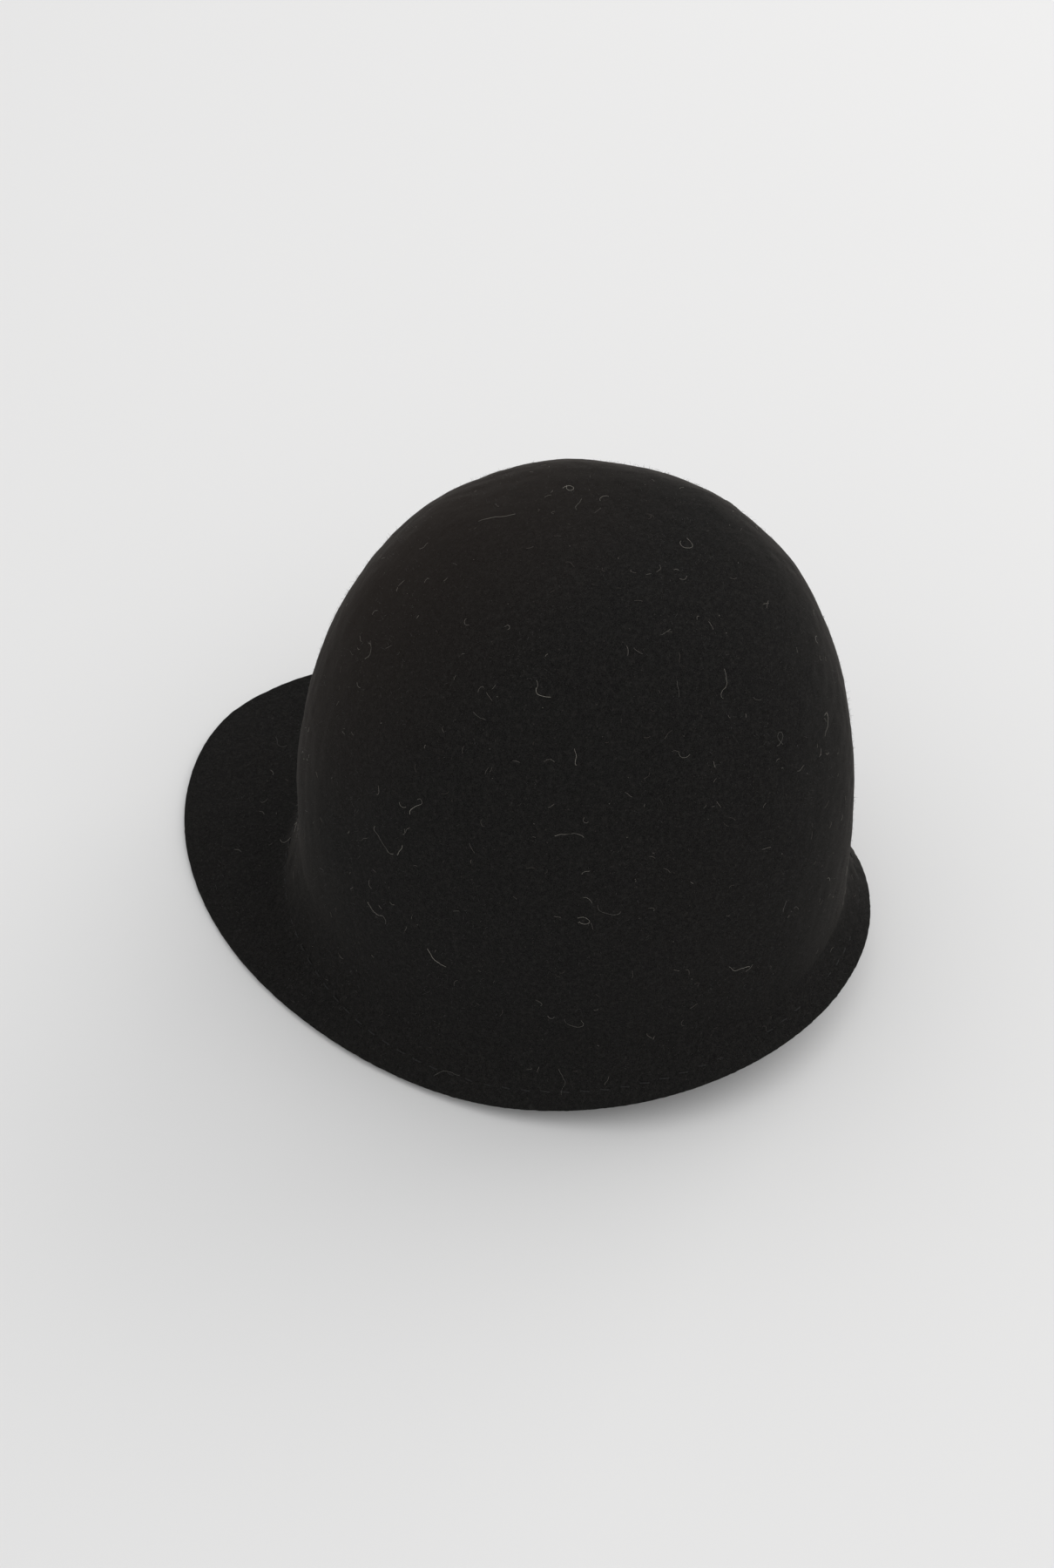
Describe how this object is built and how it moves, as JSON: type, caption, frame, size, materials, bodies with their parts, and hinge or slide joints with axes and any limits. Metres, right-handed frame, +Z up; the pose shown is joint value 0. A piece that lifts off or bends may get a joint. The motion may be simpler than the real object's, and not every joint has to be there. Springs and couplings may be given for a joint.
{
  "type": "felt hat",
  "caption": "Black wool felt hat with a deep bowler crown, a long front peak and a narrow flared rim, with a sewn-in grosgrain sweatband and soft inner labels.",
  "frame": {"origin": "middle of the head opening, in the plane that the rim rests on", "axes": "+Z up through the crown; the peak points along -Y; +X is the wearer's left"},
  "size_m": [0.2068, 0.2683, 0.1717],
  "materials": {
    "felt": "brushed black wool felt with a short nap",
    "grosgrain": "ribbed black grosgrain ribbon, slightly lustrous",
    "thread": "twisted black sewing thread",
    "woven_ribbon": "plain damask-woven dark ribbon, no lettering",
    "satin_tape": "off-white satin tape, no lettering"
  },
  "bodies": {
    "hat": {"felt_body": "felt", "sweatband": "grosgrain", "sweatband_stitches": "thread", "sweatband_join_stitches": "thread", "woven_label": "woven_ribbon", "label_stitches": "thread"},
    "care_tape": {"care_label": "satin_tape", "care_label_stitches": "thread"},
    "size_tape": {"size_label": "satin_tape", "size_label_stitches": "thread"}
  },
  "joints": [
    {"name": "care_label_lift", "type": "hinge", "parent": "hat", "child": "care_tape", "pos_m": [0.05405, 0.0719, 0.04749], "axis": [-0.7502, 0.6612, 0], "range_deg": [0, 150]},
    {"name": "size_label_lift", "type": "hinge", "parent": "hat", "child": "size_tape", "pos_m": [-0.04529, 0.07864, 0.04932], "axis": [-0.8287, -0.5598, 0], "range_deg": [0, 150]}
  ]
}
